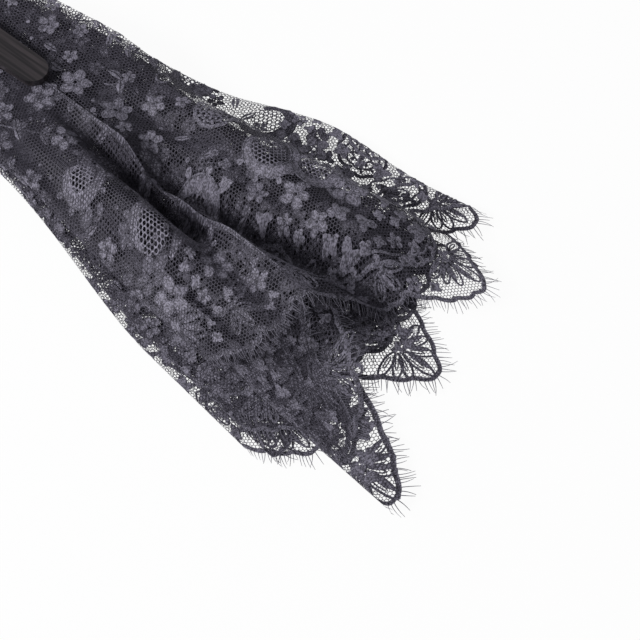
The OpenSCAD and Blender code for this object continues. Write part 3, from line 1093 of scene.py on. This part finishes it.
class Fringe:
    """The eyelash threads that stand out from the rim."""

    def __init__(self, sizes: FanSizes, rim: Rim, seed: int = 5) -> None:
        self.sizes = sizes
        self.rim = rim
        self.rng = np.random.default_rng(seed)

    def draw(self) -> FlatWork:
        """Draws every eyelash as a thin curved three-sided thread.

        Returns:
            The joined flat work.
        """
        total = self.sizes.total_angle
        fine = np.arange(0.1, total - 0.1, 0.02)
        path = polar(fine, self.rim.radius(fine, total))
        along = np.r_[0.0, np.cumsum(np.linalg.norm(np.diff(path, axis=0), axis=1))]
        count = int(along[-1] / (1.05 * MM))
        at = np.sort(np.linspace(0.0, along[-1], count) + self.rng.normal(0.0, 0.25 * MM, count))
        angle = np.interp(at, along, fine)
        smooth = self.rim.tip(angle) - self.rim.depth * self.rim.share(angle, total) ** 1.12
        root = polar(angle, self.rim.radius(angle, total) - 0.4 * MM)
        slope = np.arctan2(np.gradient(smooth), np.gradient(np.radians(angle)) * smooth)
        slope = np.clip(np.nan_to_num(slope), -0.9, 0.9)
        lean = np.degrees(-0.8 * slope) + angle + self.rng.normal(0.0, 6.0, count)
        length = (2.8 + 2.4 * (1.0 - self.rim.share(angle, total)) + self.rng.normal(0.0, 0.6, count)) * MM
        length = np.clip(length, 1.8 * MM, 6.2 * MM)
        bend = self.rng.normal(0.0, 0.16, count)
        rise = self.rng.normal(0.0, 0.7 * MM, count)
        rings = 5
        s = np.linspace(0.0, 1.0, rings)
        work = FlatWork()
        way = np.stack([np.sin(np.radians(lean)), np.cos(np.radians(lean))], axis=1)
        side = np.stack([way[:, 1], -way[:, 0]], axis=1)
        middle = root[:, None] + way[:, None] * (length[:, None] * s)[..., None]
        middle = middle + side[:, None] * (bend * length)[:, None, None] * (s**2)[None, :, None]
        thick = 0.14 * MM * (1.0 - 0.55 * s)
        lift = rise[:, None] * s**2
        left = middle - side[:, None] * thick[None, :, None]
        right = middle + side[:, None] * thick[None, :, None]
        points = np.stack([left, middle, right], axis=2)
        lifts = np.stack([lift, lift + 1.7 * thick, lift], axis=2)
        first = work.add_points(points.reshape(-1, 2), lifts.ravel())
        hair = np.arange(count)[:, None, None] * rings * 3
        ring = np.arange(rings - 1)[None, :, None] * 3
        corner = np.arange(3)[None, None, :]
        a = first + hair + ring + corner
        b = first + hair + ring + (corner + 1) % 3
        work.add_faces(np.stack([a, b, b + 3, a + 3], axis=-1).reshape(-1, 4), Thread.LASH)
        log.info("the rim has %d eyelashes", count)
        return work.joined()


# ---------------------------------------------------------------- pieces


@dataclass
class LaceLeaf:
    """The lace leaf as Blender pieces: one sheet and one fringe for each fold between two sticks."""

    sizes: FanSizes
    rim: Rim = field(default_factory=Rim)
    # The pits setting of each finish is painted shade between its stitches.
    net_finish: ThreadFinish = ThreadFinish("lace_net", (0.042, 0.038, 0.053), (0.067, 0.062, 0.083), painted_pit_shade=0.0)
    cloth_finish: ThreadFinish = ThreadFinish("lace_cloth", (0.130, 0.121, 0.158), (0.268, 0.254, 0.318), painted_pit_shade=0.66)
    cord_finish: ThreadFinish = ThreadFinish("lace_cord", (0.100, 0.094, 0.125), (0.220, 0.208, 0.262), 0.4 * MM)
    lash_finish: ThreadFinish = ThreadFinish("lace_lash", (0.085, 0.080, 0.104), (0.160, 0.152, 0.190), painted_pit_shade=0.0)

    def build(self) -> list[bpy.types.Object]:
        """Draws, folds, dresses and hands over every sheet and fringe.

        Returns:
            The sheets.
        """
        leaf_map = LeafMap(self.sizes)
        finishes = [f.material() for f in (self.net_finish, self.cloth_finish, self.cord_finish, self.lash_finish)]
        lace = LaceSheet(self.sizes, self.rim).draw()
        fringe = Fringe(self.sizes, self.rim).draw()
        sheets = []
        for gore in range(self.sizes.gores):
            sheet, area = self.piece(f"lace_fold_{gore + 1:02d}", lace, gore, leaf_map, finishes)
            lashes, _ = self.piece(f"fringe_{gore + 1:02d}", fringe, gore, leaf_map, finishes)
            nodes = [f"lace_{gore:02d}"]
            if gore == self.sizes.gores - 1:
                nodes.append(f"lace_{gore + 1:02d}")
            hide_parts(*nodes)
            sheets.append(sheet)
            log.info("%s: %d faces, %.4f m2 of thread work", sheet.name, len(sheet.data.polygons), area)
        return sheets

    def piece(
        self, name: str, work: FlatWork, gore: int, leaf_map: LeafMap, finishes: list[bpy.types.Material]
    ) -> tuple[bpy.types.Object, float]:
        """Cuts one gore out of the flat work, folds it, and makes it bend between its two sticks.

        Args:
            name: the piece's name.
            work: the joined flat work of the whole leaf.
            gore: the gore's number.
            leaf_map: the fold.
            finishes: a material for each kind of thread.

        Returns:
            The piece, and the flat area of its threads.
        """
        points, lifts = work.points[0], work.lifts[0]
        faces, kinds = [], []
        for face_array, kind_array in ((work.tris[0], work.tri_kinds[0]), (work.quads[0], work.quad_kinds[0])):
            if not len(face_array):
                faces.append(face_array)
                kinds.append(kind_array)
                continue
            middle = points[face_array].mean(axis=1)
            angle = np.degrees(np.arctan2(middle[:, 0], middle[:, 1]))
            angle = np.where(angle < -20.0, angle + 360.0, angle)
            number = np.clip((angle / self.sizes.gore_angle).astype(int), 0, self.sizes.gores - 1)
            mine = number == gore
            faces.append(face_array[mine])
            kinds.append(kind_array[mine])
        used = np.unique(np.concatenate([f.ravel() for f in faces]))
        renumber = np.zeros(len(points), np.int64)
        renumber[used] = np.arange(len(used))
        faces = [renumber[f] for f in faces]
        flat, lift = points[used], lifts[used]
        placed, follow = leaf_map.place(gore, flat, lift)
        mesh = make_mesh(name, placed, faces, kinds)
        for finish in finishes:
            mesh.materials.append(finish)
        self.lay_out(mesh, turn(flat, -(gore + 0.5) * self.sizes.gore_angle))
        obj = bpy.data.objects.new(name, mesh)
        bpy.context.scene.collection.objects.link(obj)
        low, high = self.sizes.levels[gore], self.sizes.levels[gore + 1]
        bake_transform(obj, *self.pair(gore), start=(0.0, 0.0, low), end=(0.0, 0.0, high))
        mesh.attributes["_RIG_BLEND"].data.foreach_set("value", follow.astype(np.float32))
        return obj, self.flat_area(flat, faces)

    @staticmethod
    def pair(gore: int) -> tuple[str, str]:
        """The two bodies that a gore joins."""
        joint = frame["joints"][gore]
        return joint["parent"], joint["child"]

    @staticmethod
    def flat_area(flat: np.ndarray, faces: list[np.ndarray]) -> float:
        """The flat area of the thread work, counted once."""
        area = 0.0
        for face in faces:
            for k in range(1, face.shape[1] - 1):
                a, b = flat[face[:, k]] - flat[face[:, 0]], flat[face[:, k + 1]] - flat[face[:, 0]]
                area += float(np.abs(a[:, 0] * b[:, 1] - a[:, 1] * b[:, 0]).sum() / 2)
        return area

    @staticmethod
    def lay_out(mesh: bpy.types.Mesh, flat: np.ndarray) -> None:
        """Gives the mesh a UV map of the flat leaf, with the gore upright in the middle."""
        uv = np.stack([0.5 + flat[:, 0] / LeafMap.WIDTH, (flat[:, 1] - 0.11) / LeafMap.HEIGHT], axis=1)
        corner = np.zeros(len(mesh.loops), np.int32)
        mesh.loops.foreach_get("vertex_index", corner)
        layer = mesh.uv_layers.new(name="flat")
        layer.data.foreach_set("uv", uv[corner].astype(np.float32).ravel())


def make_mesh(name: str, points: np.ndarray, faces: list[np.ndarray], kinds: list[np.ndarray]) -> bpy.types.Mesh:
    """Makes a mesh from triangles and quads.

    Args:
        name: the mesh's name.
        points: corner places.
        faces: an array of triangles and an array of quads.
        kinds: the material slot of each face, in two arrays.

    Returns:
        The mesh.
    """
    mesh = bpy.data.meshes.new(name)
    mesh.vertices.add(len(points))
    mesh.vertices.foreach_set("co", points.astype(np.float32).ravel())
    corners = np.concatenate([f.ravel() for f in faces])
    sizes = np.concatenate([np.full(len(f), f.shape[1]) for f in faces])
    mesh.loops.add(len(corners))
    mesh.loops.foreach_set("vertex_index", corners.astype(np.int32))
    mesh.polygons.add(len(sizes))
    starts = np.r_[0, np.cumsum(sizes)[:-1]]
    mesh.polygons.foreach_set("loop_start", starts.astype(np.int32))
    mesh.polygons.foreach_set("material_index", np.concatenate(kinds).astype(np.int32))
    mesh.polygons.foreach_set("use_smooth", np.ones(len(sizes), bool))
    mesh.update(calc_edges=True)
    mesh.validate()
    return mesh


@dataclass
class Sticks:
    """The guards and inner sticks, which keep their CAD shapes."""

    finish: LacquerFinish = LacquerFinish()

    def dress(self) -> int:
        """Gives every stick the lacquer and returns how many there are."""
        material = self.finish.material()
        names = [n for n in frame["nodes"] if n.startswith(("stick_", "guard_"))]
        for name in names:
            dress_node(name, material)
        return len(names)


@dataclass
class Rivet:
    """The hollow eyelet and its washers, which keep their CAD shapes."""

    finish: GunmetalFinish = GunmetalFinish()

    def dress(self) -> int:
        """Gives the eyelet and washers the metal and returns how many there are."""
        material = self.finish.material()
        names = [n for n in frame["nodes"] if n.startswith(("eyelet", "washer_"))]
        for name in names:
            dress_node(name, material)
        return len(names)


def dress_node(name: str, material: bpy.types.Material) -> None:
    """Puts one material on a CAD node."""
    obj = frame["nodes"][name]
    if not obj.material_slots:
        obj.data.materials.append(material)
    for slot in obj.material_slots:
        slot.material = material


@dataclass
class Studio:
    """A pale floor, soft light and the camera."""

    target: tuple[float, float, float] = (0.0102, 0.3803, 0.010)
    elevation: float = 62.0
    bearing: float = 38.2
    distance: float = 0.60
    lens: float = 110.5

    def build(self) -> None:
        """Makes the camera first, then the floor, the lamps and the world."""
        self.add_camera()
        self.add_floor()
        self.add_lamp("key", (0.80, -0.30, 0.74), 0.34, 15.4)
        self.add_lamp("fill", (-0.30, 0.95, 0.95), 0.9, 1.2)
        self.add_world()
        bpy.context.scene.view_settings.view_transform = "Standard"

    def add_camera(self) -> None:
        """Stands the camera over the rim end, looking back along the closed fan."""
        data = bpy.data.cameras.new("camera")
        data.lens = self.lens
        data.sensor_width = 36.0
        data.clip_start = 0.01
        data.clip_end = 20.0
        camera = bpy.data.objects.new("camera", data)
        bpy.context.scene.collection.objects.link(camera)
        e, b = math.radians(self.elevation), math.radians(self.bearing)
        back = Vector((math.cos(b) * math.cos(e), math.sin(b) * math.cos(e), math.sin(e)))
        camera.location = Vector(self.target) + back * self.distance
        camera.rotation_euler = back.to_track_quat("Z", "Y").to_euler()
        bpy.context.scene.camera = camera

    def add_floor(self) -> None:
        """A white floor that stays white to the camera and keeps a faint shadow."""
        bpy.ops.object.select_all(action="DESELECT")
        bpy.ops.mesh.primitive_plane_add(size=8.0, location=(0.0, 0.2, -0.0004))
        floor = bpy.context.object
        floor.name = "floor"
        mat = bpy.data.materials.new("floor")
        mat.use_nodes = True
        nodes, links = mat.node_tree.nodes, mat.node_tree.links
        shader = nodes["Principled BSDF"]
        shader.inputs["Base Color"].default_value = (0.86, 0.86, 0.87, 1.0)
        shader.inputs["Roughness"].default_value = 0.9
        glow = nodes.new("ShaderNodeEmission")
        glow.inputs["Strength"].default_value = 1.0
        path = nodes.new("ShaderNodeLightPath")
        share = nodes.new("ShaderNodeMath")
        share.operation = "MULTIPLY"
        share.inputs[1].default_value = 0.95
        either = nodes.new("ShaderNodeMath")
        either.operation = "MAXIMUM"
        mix = nodes.new("ShaderNodeMixShader")
        links.new(path.outputs["Is Camera Ray"], either.inputs[0])
        links.new(path.outputs["Is Glossy Ray"], either.inputs[1])
        links.new(either.outputs[0], share.inputs[0])
        links.new(share.outputs[0], mix.inputs["Fac"])
        links.new(shader.outputs[0], mix.inputs[1])
        links.new(glow.outputs[0], mix.inputs[2])
        links.new(mix.outputs[0], nodes["Material Output"].inputs["Surface"])
        floor.data.materials.append(mat)

    @staticmethod
    def add_lamp(name: str, place: tuple[float, float, float], size: float, power: float) -> None:
        """Adds a soft square lamp that points at the lace."""
        data = bpy.data.lights.new(name, "AREA")
        data.size = size
        data.energy = power
        lamp = bpy.data.objects.new(name, data)
        lamp.location = place
        lamp.rotation_euler = (Vector(place) - Vector((0.0, 0.33, 0.0))).to_track_quat("Z", "Y").to_euler()
        bpy.context.scene.collection.objects.link(lamp)

    @staticmethod
    def add_world() -> None:
        """Even pale light from all round, and white behind everything."""
        world = bpy.data.worlds.new("studio")
        bpy.context.scene.world = world
        world.use_nodes = True
        nodes, links = world.node_tree.nodes, world.node_tree.links
        even = nodes["Background"]
        even.inputs["Color"].default_value = (0.97, 0.98, 1.0, 1.0)
        even.inputs["Strength"].default_value = 0.24
        white = nodes.new("ShaderNodeBackground")
        white.inputs["Strength"].default_value = 1.0
        path = nodes.new("ShaderNodeLightPath")
        mix = nodes.new("ShaderNodeMixShader")
        links.new(path.outputs["Is Camera Ray"], mix.inputs["Fac"])
        links.new(even.outputs[0], mix.inputs[1])
        links.new(white.outputs[0], mix.inputs[2])
        links.new(mix.outputs[0], nodes["World Output"].inputs["Surface"])


def main() -> None:
    """Builds the studio, then dresses the sticks and rivet, then makes the lace."""
    logging.basicConfig(level=logging.INFO)
    Studio().build()
    log.info("dressed %d sticks", Sticks().dress())
    log.info("dressed %d rivet pieces", Rivet().dress())
    sheets = LaceLeaf(FanSizes.from_frame()).build()
    log.info("made %d lace sheets", len(sheets))


if __name__ == "__main__":
    main()
